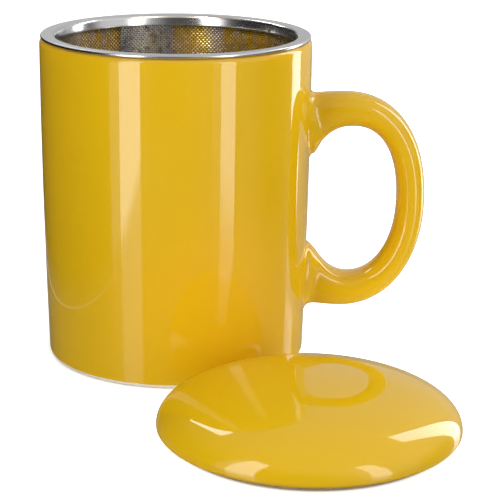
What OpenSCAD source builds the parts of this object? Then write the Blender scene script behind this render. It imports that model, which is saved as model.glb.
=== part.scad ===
// Tea mug with a stainless mesh infuser basket and a loose domed lid.
// The origin is at the centre of the cup's foot, on the table. +Z is up and the handle points along +X.
// The basket hangs in the cup by its flange. The lid lies on the table in front of the cup.

/* [Cup] */
// Height of the cup, from the table to the crest of its lip
cup_height = 98.4; // [85:0.2:120]
// Outer diameter of the cup just under its lip
cup_lip_d = 82; // [72:0.5:95]
// Outer diameter of the cup just above its foot
cup_foot_d = 79.4; // [70:0.2:90]
// How far the side stands out from a straight taper at half height
cup_swell = 0.4; // [0:0.1:2]
// Thickness of the wall at the lip
cup_wall = 3.5; // [3:0.1:5]
// Width of the flat crest of the lip, which carries the infuser's flange
lip_crest = 0.5; // [0.4:0.1:0.8]
// Radius of the lip's outer rounding
lip_round_out = 1.7; // [1.2:0.1:1.9]
// How much narrower the inside is at the floor than at the lip, on the radius
cup_draft = 1.2; // [0.4:0.1:2]
// Thickness of the floor
cup_floor = 5; // [4:0.5:8]
// Radius of the corner where the inside wall meets the floor
cup_inner_corner = 7; // [3:0.5:10]
// Radius of the outer corner just above the foot
cup_foot_corner = 1.9; // [1:0.1:3]
// Width of the bare ring that the cup stands on
foot_ring_w = 3.6; // [2.5:0.1:5]
// Depth of the hollow inside the foot ring
foot_recess = 1.5; // [0.8:0.1:2.5]
// How far the foot ring's inner side slopes in
foot_ring_slope = 0.8; // [0.2:0.1:2]

/* [Handle] */
// How far the grip's outer face stands out from the cup's side
handle_reach = 36.2; // [32:0.2:42]
// Room for fingers between the cup's side and the grip
finger_room = 27.7; // [25:0.1:29]
// Height of the handle over its outside
handle_tall = 67.8; // [60:0.2:72]
// Height of the finger loop
loop_tall = 47; // [40:0.2:50]
// Height of the handle's middle above the table
handle_mid_z = 47.9; // [42:0.1:54]
// Distance from the cup's side to the highest point of the handle's outside
outer_crown = 10.5; // [9:0.1:12]
// Distance from the cup's side to the highest point of the finger loop
loop_crown = 13.1; // [12:0.1:14]
// Squareness of the handle's upper curves (2 is an ellipse)
handle_top_power = 2.28; // [2:0.02:2.6]
// Squareness of the handle's lower curves (2 is an ellipse)
handle_foot_power = 2.1; // [2:0.02:2.6]
// Width of the handle across the strap
handle_w = 14; // [10:0.5:18]
// Squareness of the strap's cross-section (2 is an ellipse)
strap_power = 2.3; // [2:0.1:3]
// How far the strap spreads on every side where its roots meet the cup
root_fillet = 1.8; // [0.5:0.1:2.5]

/* [Infuser rim] */
// How far the flange's rolled edge stays inside the cup's outer diameter, on the radius
flange_inset = 0.3; // [0:0.1:1.5]
// Thickness of the steel sheet
sheet_t = 0.5; // [0.4:0.05:0.7]
// Gap between the two layers of the rolled edge
hem_gap = 0.05; // [0:0.01:0.1]
// Width of the rolled edge, where the sheet is folded under
hem_w = 2.4; // [2:0.1:3]
// Outer radius of the bend from the flange into the collar
collar_bend_r = 0.9; // [0.8:0.05:1.2]
// Depth of the collar below the flange's top
collar_depth = 3.4; // [3:0.1:6]

/* [Infuser basket] */
// Thickness of the woven mesh
mesh_t = 0.45; // [0.3:0.05:0.6]
// Thickness of the bands that hold the mesh
band_t = 0.25; // [0.2:0.05:0.35]
// Height of the cup's free space under the basket, above the floor
basket_floor_gap = 23.5; // [12:0.5:40]
// How much narrower the basket is at its base than at the collar, on the radius
basket_taper = 1.7; // [0.5:0.1:4]
// Height of the band round the base
base_band_h = 6; // [4:0.5:10]
// Width of the base band's inward lip
base_lip_w = 4; // [3:0.5:6]
// Width of the lapped strip where the mesh wall closes on itself
seam_w = 18; // [4:0.5:24]
// Direction of the lapped strip, from the handle
seam_bearing = 106; // [0:1:359]
// Number of spot welds round the collar
collar_weld_count = 2; // [2:1:16]
// Direction of the first spot weld on the collar, from the handle
collar_weld_bearing = 36; // [0:1:359]
// Number of spot welds round the base band
base_weld_count = 12; // [6:1:20]
// Diameter of a spot weld
weld_d = 1.4; // [1:0.1:1.6]
// How far a spot weld stands out
weld_t = 0.12; // [0.08:0.01:0.14]

/* [Lid] */
// How far the lid's edge overhangs the cup's lip, on the radius
lid_overhang = 1.2; // [0.5:0.1:3]
// Height of the dome above the lid's widest edge
lid_dome_h = 13.1; // [8:0.1:20]
// Height of the lid's widest edge above its rim's underside
lid_edge_h = 1.65; // [1:0.05:3]
// Width of the rounding under the lid's edge
lid_edge_round = 3; // [1.5:0.1:4]
// Depth of the locating ring below the rim's underside
lid_ring_h = 1.65; // [1.2:0.05:6]
// Width of the locating ring
lid_ring_w = 3.4; // [2.5:0.1:5]
// Radius of the locating ring's lower edges
ring_round = 0.6; // [0.3:0.1:1.1]
// Thickness of the dome at its middle
lid_wall = 4.2; // [3:0.1:6]
// Squareness of the dome's outline (2 is an ellipse)
lid_fullness = 2.12; // [2:0.02:2.6]
// Direction from the cup to the lid, from the handle towards the left seen from above
lid_bearing = -63.6; // [-110:0.2:-50]

/* [Clearances] */
// Gap between the basket's collar band and the cup's mouth
basket_clearance = 0.3; // [0.2:0.05:0.6]
// Gap between the lid's locating ring and the collar
lid_clearance = 0.6; // [0.3:0.05:1]
// Gap between the lid's edge and the cup, where they stand on the table
table_gap = 0.3; // [0.3:0.1:20]

/* [Hidden] */

$fn = 96;
GLAZE = [0.88, 0.68, 0.10];
STEEL = [0.78, 0.78, 0.79];
MESH = [0.62, 0.62, 0.63];

SIDE_STEPS = 8;
ARC_STEPS = 6;
DOME_STEPS = 14;
HANDLE_RINGS = 56;
STRAP_SIDES = 28;
// Fine clearance between thin parts that are clamped or rolled together
STACK_GAP = 0.02;

// Cup
lip_r = cup_lip_d / 2;
foot_r = cup_foot_d / 2;
mouth_r = lip_r - cup_wall;
floor_z = foot_recess + cup_floor;
lip_round_in = cup_wall - lip_crest - lip_round_out;

// Rim of the infuser, up from the cup's lip
seat_z = cup_height;
hem_t = 2 * sheet_t + hem_gap;
flange_top = seat_z + hem_t;
flange_r = lip_r - flange_inset;
band_out_r = mouth_r - basket_clearance;
band_in_r = band_out_r - band_t;
mesh_top_in_r = band_in_r - mesh_t;
collar_r = mesh_top_in_r - sheet_t;
collar_bottom = flange_top - collar_depth;
mesh_top_z = flange_top - collar_bend_r - sheet_t;
collar_mid_z = (collar_bottom + mesh_top_z) / 2;

// Base of the infuser
base_z = floor_z + basket_floor_gap;
mesh_base_in_r = mesh_top_in_r - basket_taper;
mesh_base_out_r = mesh_base_in_r + mesh_t;
base_band_r = mesh_base_out_r + band_t;
base_band_top = base_z + base_band_h;
base_open_r = base_band_r - base_lip_w;

// Lid
lid_r = lip_r + lid_overhang;
lid_edge_z = lid_ring_h + lid_edge_h;
lid_top = lid_edge_z + lid_dome_h;
ring_out_r = collar_r - lid_clearance;
ring_in_r = ring_out_r - lid_ring_w;
lid_away = side_r(lid_edge_z) + lid_r + table_gap;
lid_place = lid_away * [cos(lid_bearing), sin(lid_bearing)];

// Handle: the outer outline runs out nearly level over OUTER_RUN, and both outlines are drawn over an
// angle from the crown that brings them to the cup. The loop's own oval reaches LOOP_SIDE_SINK into the
// cup's side. The roots go on ROOT_SINK deep into the side, where the loop's height shrinks by ROOT_PINCH.
handle_wall_r = side_r(handle_mid_z);
OUTER_RUN = 40;
OUTER_SWEEP = 103;
LOOP_SWEEP = 135;
LOOP_SIDE_SINK = 0.6;
ROOT_SINK = 3;
ROOT_PINCH = 0.88;

// Radius of the cup's side at height z
function side_r(z) =
    let (t = z / cup_height)
    foot_r + (lip_r - foot_r) * t + 4 * cup_swell * t * (1 - t);

// Points along a circular arc
function arc(centre, r, from, to, steps = ARC_STEPS) =
    [for (i = [0 : steps]) let (a = from + (to - from) * i / steps) centre + r * [cos(a), sin(a)]];

// Power that keeps the sign of what it raises
function signed_pow(v, p) = sign(v) * pow(abs(v), p);

// Outline of the cup's outside from the foot up to the start of the lip
function cup_side() =
    concat(
        arc([side_r(cup_foot_corner) - cup_foot_corner, cup_foot_corner], cup_foot_corner, -90, 0),
        [for (i = [1 : SIDE_STEPS])
            let (z = cup_foot_corner + (cup_height - lip_round_out - cup_foot_corner) * i / SIDE_STEPS)
            [side_r(z), z]]);

// Rounded lip with a narrow flat crest that carries the flange
function cup_lip() =
    concat(
        arc([lip_r - lip_round_out, cup_height - lip_round_out], lip_round_out, 15, 90),
        arc([mouth_r + lip_round_in, cup_height - lip_round_in], lip_round_in, 90, 180));

// Foot ring, recessed floor, side, lip and inside of the cup as one closed outline
function cup_outline() =
    let (foot_out = side_r(cup_foot_corner) - cup_foot_corner, foot_in = foot_out - foot_ring_w)
    concat(
        [[0, foot_recess], [foot_in - foot_ring_slope, foot_recess], [foot_in, 0]],
        cup_side(),
        cup_lip(),
        arc([mouth_r - cup_draft - cup_inner_corner, floor_z + cup_inner_corner],
            cup_inner_corner, 0, -90),
        [[0, floor_z]]);

module cup() {
    color(GLAZE) rotate_extrude() polygon(cup_outline());
}

// Solid body of the cup's outer shape, which trims the handle's roots
module cup_body() {
    rotate_extrude() polygon(concat([[0, 0]], cup_side(), [[0, cup_height - lip_round_out]]));
}

// Point on the upright outline of the handle: crown distance from the cup's side, half sizes, angle
function handle_point(crown, right, left, half_tall, a) =
    let (n = a > 0 ? handle_top_power : handle_foot_power, across = abs(a) > 90 ? left : right)
    [handle_wall_r + crown + across * signed_pow(cos(a), 2 / n),
     handle_mid_z + half_tall * signed_pow(sin(a), 2 / n)];

// Outer and inner point of the strap at station s, from -1 at the lower root to 1 at the upper one
function strap_station(s) =
    [handle_point(outer_crown, handle_reach - outer_crown, OUTER_RUN, handle_tall / 2, s * OUTER_SWEEP),
     handle_point(loop_crown, finger_room - loop_crown, loop_crown + LOOP_SIDE_SINK,
                  loop_tall / 2, s * LOOP_SWEEP)];

// The same pair carried on into the cup's wall
function sunk_station(pair) =
    let (x = handle_wall_r - ROOT_SINK, mid = handle_mid_z)
    [[x, pair[0].y], [x, mid + (pair[1].y - mid) * ROOT_PINCH]];

// How much the strap grows on every side at distance x from the axis, to blend into the cup
function root_flare(x) = root_fillet * pow(1 - min(1, max(0, x - handle_wall_r) / (2 * root_fillet)), 2);

// One ring of the strap
function strap_ring(pair) =
    let (mid = (pair[0] + pair[1]) / 2,
         half = (pair[0] - pair[1]) / 2,
         flare = root_flare(mid.x),
         up = half * (1 + flare / norm(half)),
         side = handle_w / 2 + flare)
    [for (k = [0 : STRAP_SIDES - 1])
        let (a = 360 * k / STRAP_SIDES,
             c = signed_pow(cos(a), 2 / strap_power),
             w = signed_pow(sin(a), 2 / strap_power))
        [mid.x + up.x * c, side * w, mid.y + up.y * c]];

// Stations crowd together towards the roots, where the fillets are
stations = [for (i = [0 : HANDLE_RINGS]) strap_station(sin(180 * i / HANDLE_RINGS - 90))];
strap_pairs = concat([sunk_station(stations[0])], stations, [sunk_station(stations[HANDLE_RINGS])]);

// Closed skin over a list of rings
module skin(rings) {
    n = len(rings[0]);
    last = len(rings) - 1;
    polyhedron(
        points = [for (ring = rings) each ring],
        faces = concat(
            [[for (k = [0 : n - 1]) k]],
            [[for (k = [n - 1 : -1 : 0]) last * n + k]],
            [for (i = [0 : last - 1], k = [0 : n - 1])
                [i * n + k, (i + 1) * n + k, (i + 1) * n + (k + 1) % n]],
            [for (i = [0 : last - 1], k = [0 : n - 1])
                [i * n + k, (i + 1) * n + (k + 1) % n, i * n + (k + 1) % n]]),
        convexity = 6);
}

module handle() {
    color(GLAZE) difference() {
        skin([for (pair = strap_pairs) strap_ring(pair)]);
        cup_body();
    }
}

// Flange with its rolled edge, the bend and the short collar, pressed from one sheet
module rim_flange() {
    hem_r = hem_t / 2;
    bend_centre = [collar_r + collar_bend_r, flange_top - collar_bend_r];
    color(STEEL) rotate_extrude() polygon(concat(
        [[flange_r - hem_w, flange_top - sheet_t], [flange_r - hem_w, seat_z]],
        arc([flange_r - hem_r, seat_z + hem_r], hem_r, -90, 90),
        arc(bend_centre, collar_bend_r, 90, 180),
        [[collar_r, collar_bottom], [collar_r + sheet_t, collar_bottom]],
        arc(bend_centre, collar_bend_r - sheet_t, 180, 90)));
}

// Plain band between two radii and two heights
module sleeve(in_r, out_r, low, high) {
    rotate_extrude() translate([in_r, low]) square([out_r - in_r, high - low]);
}

// Band that grips the mesh against the outside of the collar
module collar_band() {
    color(STEEL) sleeve(band_in_r, band_out_r, collar_bottom, mesh_top_z);
}

// Ring of spot welds, each a low button standing on a band of outer radius r with its centre at height z
module weld_ring(r, z, count, first) {
    for (i = [0 : count - 1])
        rotate([0, 0, first + 360 * i / count])
            translate([r, 0, z])
                rotate([0, 90, 0])
                    cylinder(d = weld_d, h = weld_t);
}

module collar_welds() {
    color(STEEL) weld_ring(band_out_r, collar_mid_z, collar_weld_count, collar_weld_bearing);
}

// Wall of woven mesh: straight at the collar, tapered below it, straight again inside the base band
module side_mesh() {
    low = base_z + band_t;
    color(MESH) rotate_extrude() polygon([
        [mesh_base_in_r, low],
        [mesh_base_in_r + mesh_t, low],
        [mesh_base_in_r + mesh_t, base_band_top],
        [mesh_top_in_r + mesh_t, collar_bottom],
        [mesh_top_in_r + mesh_t, mesh_top_z],
        [mesh_top_in_r, mesh_top_z],
        [mesh_top_in_r, collar_bottom],
        [mesh_base_in_r, base_band_top]]);
}

// Lapped strip on the inside of the mesh wall, from above the base band to just below the collar
module side_seam() {
    low = base_band_top + STACK_GAP;
    high = collar_bottom - STACK_GAP;
    low_r = mesh_base_in_r - STACK_GAP;
    high_r = mesh_top_in_r - STACK_GAP;
    seam_angle = 2 * asin(seam_w / 2 / mesh_top_in_r);
    color(MESH) rotate([0, 0, seam_bearing - seam_angle / 2])
        rotate_extrude(angle = seam_angle)
            polygon([[low_r - mesh_t, low], [low_r, low], [high_r, high], [high_r - mesh_t, high]]);
}

// Shallow pressed ring round the bottom of the mesh, with an inward lip that carries the base mesh
module base_band() {
    color(STEEL) rotate_extrude() polygon([
        [base_open_r, base_z],
        [base_band_r, base_z],
        [base_band_r, base_band_top],
        [mesh_base_out_r, base_band_top],
        [mesh_base_out_r, base_z + band_t],
        [base_open_r, base_z + band_t]]);
}

// Disc of woven mesh that lies on the base band's lip
module base_mesh() {
    color(MESH) translate([0, 0, base_z + band_t]) cylinder(r = mesh_base_in_r - STACK_GAP, h = mesh_t);
}

// Flat ring that clamps the base mesh to the lip
module base_clamp_ring() {
    low = base_z + band_t + mesh_t;
    color(STEEL) sleeve(base_open_r, mesh_base_in_r - STACK_GAP, low, low + sheet_t);
}

module base_welds() {
    color(STEEL) weld_ring(base_band_r, base_z + base_band_h / 2, base_weld_count, 180 / base_weld_count);
}

// Outline of a dome from its widest point to the axis: foot radius, foot height and rise
function dome(r, z, rise) =
    [for (i = [0 : DOME_STEPS])
        let (a = 90 * i / DOME_STEPS)
        [r * pow(cos(a), 2 / lid_fullness), z + rise * pow(sin(a), 2 / lid_fullness)]];

// Rounding under the lid's edge, from the rim's flat underside out to the widest point
function lid_under_edge() =
    [for (i = [0 : ARC_STEPS])
        let (a = -90 + 90 * i / ARC_STEPS)
        [lid_r - lid_edge_round + lid_edge_round * cos(a), lid_edge_z + lid_edge_h * sin(a)]];

// Inside of the dome, from the axis down to the locating ring
function lid_hollow() =
    let (points = dome(ring_in_r, ring_round, lid_top - lid_wall - ring_round))
    [for (i = [DOME_STEPS : -1 : 0]) points[i]];

module lid() {
    color(GLAZE) translate(lid_place) rotate_extrude() polygon(concat(
        lid_hollow(),
        arc([ring_in_r + ring_round, ring_round], ring_round, 180, 270),
        arc([ring_out_r - ring_round, ring_round], ring_round, 270, 360),
        [[ring_out_r, lid_ring_h]],
        lid_under_edge(),
        dome(lid_r, lid_edge_z, lid_dome_h)));
}

cup();
handle();
rim_flange();
collar_band();
collar_welds();
side_mesh();
side_seam();
base_band();
base_mesh();
base_clamp_ring();
base_welds();
lid();
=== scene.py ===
"""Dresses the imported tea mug, its infuser basket and its lid with their finished surfaces.

Lengths in the tables below are millimetres; MM turns them into the metres that Blender works in.
The frame is the part's own: the cup stands on the table at the origin and its handle points along +X.
"""

import math

import bmesh
import bpy
from mathutils import Matrix, Quaternion, Vector


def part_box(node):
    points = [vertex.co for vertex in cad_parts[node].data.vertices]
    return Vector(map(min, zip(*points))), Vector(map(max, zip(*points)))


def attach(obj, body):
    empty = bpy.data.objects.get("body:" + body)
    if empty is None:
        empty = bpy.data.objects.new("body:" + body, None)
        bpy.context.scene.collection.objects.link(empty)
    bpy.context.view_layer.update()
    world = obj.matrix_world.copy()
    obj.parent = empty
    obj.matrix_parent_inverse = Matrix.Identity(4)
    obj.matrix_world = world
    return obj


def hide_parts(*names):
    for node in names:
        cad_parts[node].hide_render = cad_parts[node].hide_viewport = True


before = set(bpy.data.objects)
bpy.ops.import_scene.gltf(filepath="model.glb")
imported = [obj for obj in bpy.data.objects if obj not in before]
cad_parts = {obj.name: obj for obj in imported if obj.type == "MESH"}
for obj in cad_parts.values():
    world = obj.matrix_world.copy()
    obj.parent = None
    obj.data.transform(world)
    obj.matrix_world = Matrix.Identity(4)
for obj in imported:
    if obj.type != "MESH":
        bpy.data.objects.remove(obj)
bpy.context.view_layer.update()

MM = 0.001

# ---------------- sizes, in millimetres
# Cup
CUP_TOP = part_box("cup")[1].z / MM
LIP_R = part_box("cup")[1].x / MM
FOOT_R = 39.7
SWELL = 0.4
MOUTH_R = LIP_R - 3.5
LIP_ROUND_OUT, LIP_ROUND_IN = 1.7, 1.3
DRAFT = 1.2
FLOOR_Z, FLOOR_CORNER = 6.5, 7.0
FOOT_CORNER = 1.9
FOOT_RING_W = 3.6
FOOT_RECESS = 1.5
# The foot ring's inner edge, from the recess down to the table: distance from the ring's inner radius, height
FOOT_INNER_EDGE = ((-2.2, 1.5), (-1.4, 1.5), (-0.9, 1.42), (-0.6, 1.15), (-0.2, 0.45), (0.0, 0.15),
                   (0.2, 0.03), (0.45, 0.0), (1.2, 0.0))

# Basket
FLANGE_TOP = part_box("rim_flange")[1].z / MM
FLANGE_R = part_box("rim_flange")[1].x / MM
SHEET = 0.5
SHEET_SOFT, BAND_SOFT, CLAMP_SOFT = 0.1, 0.08, 0.15
HEM_T, HEM_W, HEM_SOFT = 1.05, 2.4, 0.25
COLLAR_R = 36.0
COLLAR_LOW = 96.05
COLLAR_BEND, COLLAR_BEND_DROP = 0.9, 2.4
COLLAR_DRAFT = 10.5
COLLAR_ROLL = 1.35
BAND_T = 0.25
MESH_T = 0.45
MESH_TOP, MESH_TOP_R, MESH_BASE_R = 98.05, 36.5, 34.8
BASE_Z, BASE_BAND_TOP, BASE_OPEN_R = 30.0, 36.0, 31.5
WELD_D, WELD_RISE, DIMPLE_RISE = 1.4, 0.12, 0.05
SEAM_W, SEAM_BEARING = 18.0, 106.0
COLLAR_WELDS, COLLAR_WELD_BEARING = 2, 36.0
BASE_WELDS, BASE_WELD_BEARING, BASE_WELD_UP = 12, 15.0, 3.0

# Lid
LID_LOW, LID_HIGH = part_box("lid")
LID_R = (LID_HIGH.x - LID_LOW.x) / 2 / MM
LID_TOP = LID_HIGH.z / MM
LID_PLACE = ((LID_LOW.x + LID_HIGH.x) / 2 / MM, (LID_LOW.y + LID_HIGH.y) / 2 / MM)
LID_WALL = 4.2
LID_EDGE_Z, LID_EDGE_ROUND = 3.3, 3.0
LID_RIM_Z = 1.65
LID_FULLNESS = 2.12
RING_OUT_R, RING_IN_R, RING_ROUND = 35.4, 32.0, 0.6
# The corner between the locating ring and the lid's rim: distance from the ring, depth below the rim
RING_CORNER = ((0.0, 0.35), (0.04, 0.15), (0.15, 0.04), (0.35, 0.0), (1.0, 0.0))

# Handle. Its outer outline and its finger loop are each an oval: how far the oval's middle stands off the
# wall, its reach outwards and back towards the wall, half its height, and how far round it the outline runs.
HANDLE_MID_Z = 47.9
HANDLE_W = 14.0
HANDLE_REACH = 36.2
STRAP_POWER = 2.3
TOP_POWER, FOOT_POWER = 2.28, 2.1
OUTER_CROWN, OUTER_RUN, OUTER_HALF, OUTER_SWEEP = 10.5, 40.0, 33.9, 103.0
LOOP_CROWN, LOOP_RIGHT, LOOP_LEFT, LOOP_HALF, LOOP_SWEEP = 13.1, 14.6, 13.7, 23.5, 135.0
ROOT_FLARE, ROOT_SINK, ROOT_PINCH, ROOT_POOL = 1.8, 3.0, 0.88, 1.3
ROOT_RUN = 0.15
# Stations before and after, and their weights, over which the strap's edges are averaged
SMOOTHING = ((-0.045, 1), (-0.03, 3), (-0.015, 5), (0.0, 6), (0.015, 5), (0.03, 3), (0.045, 1))
# The skirt of glaze past the pool, which runs on just inside the cup's skin: distance outwards, depth
POOL_SKIRT = ((0.8, 0.04), (0.8, 0.6))

# Wire cloth. Real tea mesh is finer; it is drawn as coarse as it needs to show.
THREAD_PITCH, THREAD_D, THREAD_WAVE = 0.62, 0.24, 0.11


# ---------------- helpers
def add(tree, kind, inputs=(), **settings):
    """Adds a node. Inputs are values, sockets or nodes, by place in a list or by name in a dict. Only the
    sockets in use count, and a node stands for its first output in use."""
    made = tree.nodes.new(kind)
    for key, value in settings.items():
        setattr(made, key, value)
    sockets = [socket for socket in made.inputs if socket.enabled]
    for key, value in inputs.items() if isinstance(inputs, dict) else enumerate(inputs):
        socket = sockets[key] if isinstance(key, int) else next(s for s in sockets if s.name == key)
        if isinstance(value, bpy.types.Node):
            value = next(s for s in value.outputs if s.enabled)
        if isinstance(value, bpy.types.NodeSocket):
            tree.links.new(value, socket)
        else:
            socket.default_value = value
    return made


def paint(code):
    """Linear colour of an sRGB hex value such as E3B624."""
    parts = [int(code[i : i + 2], 16) / 255 for i in (0, 2, 4)]
    return (*(c / 12.92 if c <= 0.04045 else ((c + 0.055) / 1.055) ** 2.4 for c in parts), 1.0)


def put(name, data):
    """A new object in the scene that holds a mesh, a lamp or the camera."""
    made = bpy.data.objects.new(name, data)
    bpy.context.scene.collection.objects.link(made)
    return made


# ---------------- materials
def new_material(name):
    """An empty node material, its tree and its Object coordinates."""
    material = bpy.data.materials.new(name)
    material.use_nodes = True
    tree = material.node_tree
    tree.nodes.clear()
    return material, tree, add(tree, "ShaderNodeTexCoord").outputs["Object"]


def yellow_glazed_stoneware():
    """Opaque yellow glaze, dipped and fired over buff stoneware: a hard glass skin with a very slight wave,
    a touch thinner and browner at the lip, and wiped off the foot, which shows the bare dry body."""
    material, tree, place = new_material("yellow_glazed_stoneware")
    height = add(tree, "ShaderNodeSeparateXYZ", [place]).outputs["Z"]

    # Glaze lies a little thicker in soft clouds about 25 mm across
    cloud = add(tree, "ShaderNodeTexNoise", {"Vector": place, "Scale": 1 / (25 * MM), "Detail": 2.0})
    glaze = add(tree, "ShaderNodeMix", [cloud, paint("DAAF0F"), paint("D6AA13")], data_type="RGBA")
    # Fine iron specks, about 0.4 mm, far apart and hardly darker than the glaze
    specks = add(tree, "ShaderNodeTexVoronoi", {"Vector": place, "Scale": 1 / (5 * MM)})
    speck = add(tree, "ShaderNodeMapRange", [specks, 0.03, 0.05, 0.16, 0.0])
    glaze = add(tree, "ShaderNodeMix", [speck, glaze, paint("BE940D")], data_type="RGBA")
    # The fired edge of the lip, where the glaze runs thin
    thin = add(tree, "ShaderNodeMapRange", [height, (CUP_TOP - 1.6) * MM, (CUP_TOP - 0.2) * MM, 0.0, 0.55],
               interpolation_type="SMOOTHSTEP")
    glaze = add(tree, "ShaderNodeMix", [thin, glaze, paint("CE9F34")], data_type="RGBA")

    # The glaze line stands about 1.3 mm above the wiped foot and wanders
    wander = add(tree, "ShaderNodeTexNoise", {"Vector": place, "Scale": 1 / (6 * MM), "Detail": 3.0})
    line = add(tree, "ShaderNodeMath", [wander, 0.5 * MM, 1.05 * MM], operation="MULTIPLY_ADD")
    line_top = add(tree, "ShaderNodeMath", [line, 0.12 * MM], operation="ADD")
    bare = add(tree, "ShaderNodeMapRange", [height, line, line_top, 1.0, 0.0])
    grit = add(tree, "ShaderNodeTexNoise", {"Vector": place, "Scale": 1 / (0.8 * MM), "Detail": 4.0})
    body = add(tree, "ShaderNodeMix", [grit, paint("F6F1E6"), paint("E8DFCC")], data_type="RGBA")

    # Slow waves 9 mm long and orange peel 2.5 mm across in the glass, dry grain on the foot
    slow = add(tree, "ShaderNodeTexNoise", {"Vector": place, "Scale": 1 / (9 * MM), "Detail": 1.0})
    peel = add(tree, "ShaderNodeTexNoise", {"Vector": place, "Scale": 1 / (2.5 * MM), "Detail": 1.0})
    waves = add(tree, "ShaderNodeBump", {"Height": slow, "Strength": 1.0, "Distance": 0.016 * MM})
    skin = add(tree, "ShaderNodeBump",
               {"Height": peel, "Strength": 1.0, "Distance": 0.0015 * MM, "Normal": waves})
    grain = add(tree, "ShaderNodeBump",
                {"Height": grit, "Strength": bare, "Distance": 0.05 * MM, "Normal": skin})
    shader = add(tree, "ShaderNodeBsdfPrincipled", {
        "Base Color": add(tree, "ShaderNodeMix", [bare, glaze, body], data_type="RGBA"),
        "Roughness": add(tree, "ShaderNodeMapRange", [bare, 0.0, 1.0, 0.045, 0.75]),
        "IOR": 1.5,
        "Normal": grain,
    })
    add(tree, "ShaderNodeOutputMaterial", {"Surface": shader})
    return material


def pressed_stainless():
    """Stainless sheet, pressed into a ring and polished on a wheel: satin on the flange, where the wheel left
    fine rings round the axis, and nearly a mirror on the collar, which the punch burnished. The ring at the
    basket's base is left dull, as it came from the press."""
    material, tree, place = new_material("pressed_stainless")
    split = add(tree, "ShaderNodeSeparateXYZ", [place]).outputs
    flat = add(tree, "ShaderNodeCombineXYZ", [split["X"], split["Y"], 0.0])
    radius = add(tree, "ShaderNodeVectorMath", [flat], operation="LENGTH")
    # Polishing rings 0.12 mm apart, broken up every 20 mm or so along the ring
    track = add(tree, "ShaderNodeCombineXYZ", [
        add(tree, "ShaderNodeMath", [distance, 1 / (step * MM)], operation="MULTIPLY")
        for distance, step in ((radius, 0.12), (split["Z"], 0.12), (split["X"], 20))])
    lines = add(tree, "ShaderNodeTexNoise", {"Vector": track, "Scale": 1.0, "Detail": 2.0})

    flange = add(tree, "ShaderNodeMapRange",
                 [split["Z"], (FLANGE_TOP - 0.5) * MM, (FLANGE_TOP - 0.05) * MM, 0.0, 1.0],
                 interpolation_type="SMOOTHSTEP")
    # Roughness of the collar, the flange and the ring at the base
    finish = add(tree, "ShaderNodeMapRange", [flange, 0.0, 1.0, 0.14, 0.33])
    finish = add(tree, "ShaderNodeMapRange",
                 [split["Z"], (BASE_BAND_TOP + 4) * MM, (BASE_BAND_TOP + 9) * MM, 0.5, finish])
    cloud = add(tree, "ShaderNodeTexNoise", {"Vector": place, "Scale": 1 / (6 * MM), "Detail": 2.0})
    shader = add(tree, "ShaderNodeBsdfPrincipled", {
        "Base Color": add(tree, "ShaderNodeMix", [lines, paint("C4C5C7"), paint("D0D0D1")],
                          data_type="RGBA"),
        "Metallic": 1.0,
        "Roughness": add(tree, "ShaderNodeMath", [cloud, 0.08, finish], operation="MULTIPLY_ADD"),
        "Normal": add(tree, "ShaderNodeBump", {"Height": lines, "Strength": 0.5, "Distance": 0.004 * MM}),
    })
    add(tree, "ShaderNodeOutputMaterial", {"Surface": shader})
    return material


def stainless_wire(name, dull, bright, least_rough, rolled):
    """Round stainless wire, from its dull to its bright colour. With rolled set, the knuckles on the inner
    face take the bright colour, a painted highlight, and the rest the dull colour; other wire varies with
    drawing marks."""
    material, tree, place = new_material(name)
    marks = add(tree, "ShaderNodeTexNoise", {"Vector": place, "Scale": 1 / (1.5 * MM), "Detail": 2.0})
    shine = marks
    # Painted highlight: knuckles on the inner face, where knuckle is near -1, take the bright colour
    if rolled:
        knuckle = add(tree, "ShaderNodeAttribute", attribute_name="knuckle").outputs["Fac"]
        shine = add(tree, "ShaderNodeMapRange", [knuckle, 0.1, -0.5, 0.0, 1.0],
                    interpolation_type="SMOOTHSTEP")
    shader = add(tree, "ShaderNodeBsdfPrincipled", {
        "Base Color": add(tree, "ShaderNodeMix", [shine, paint(dull), paint(bright)], data_type="RGBA"),
        "Metallic": 1.0,
        "Roughness": add(tree, "ShaderNodeMapRange", [marks, 0.3, 0.7, least_rough, least_rough + 0.12]),
    })
    add(tree, "ShaderNodeOutputMaterial", {"Surface": shader})
    return material


def spot_welded_stainless():
    """The nugget of a spot weld: dull where the electrode pressed, with a straw and grey heat tint."""
    material, tree, place = new_material("spot_welded_stainless")
    tint = add(tree, "ShaderNodeTexNoise", {"Vector": place, "Scale": 1 / (0.9 * MM), "Detail": 2.0})
    shader = add(tree, "ShaderNodeBsdfPrincipled", {
        "Base Color": add(tree, "ShaderNodeMix", [tint, paint("8E8B88"), paint("B9A98C")], data_type="RGBA"),
        "Metallic": 1.0,
        "Roughness": 0.38,
        "Normal": add(tree, "ShaderNodeBump", {"Height": tint, "Strength": 0.6, "Distance": 0.02 * MM}),
    })
    add(tree, "ShaderNodeOutputMaterial", {"Surface": shader})
    return material


# ---------------- forms grown by Geometry Nodes
def new_tree(name, sizes):
    """A geometry tree with one named input for each size, and Geometry in and out."""
    tree = bpy.data.node_groups.new(name, "GeometryNodeTree")
    kinds = {int: "NodeSocketInt", float: "NodeSocketFloat", bool: "NodeSocketBool"}
    tree.interface.new_socket("Geometry", in_out="INPUT", socket_type="NodeSocketGeometry")
    for label, value in sizes.items():
        socket = tree.interface.new_socket(label, in_out="INPUT", socket_type=kinds[type(value)])
        socket.default_value = value
    tree.interface.new_socket("Material", in_out="INPUT", socket_type="NodeSocketMaterial")
    tree.interface.new_socket("Geometry", in_out="OUTPUT", socket_type="NodeSocketGeometry")
    return tree, add(tree, "NodeGroupInput").outputs


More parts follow.
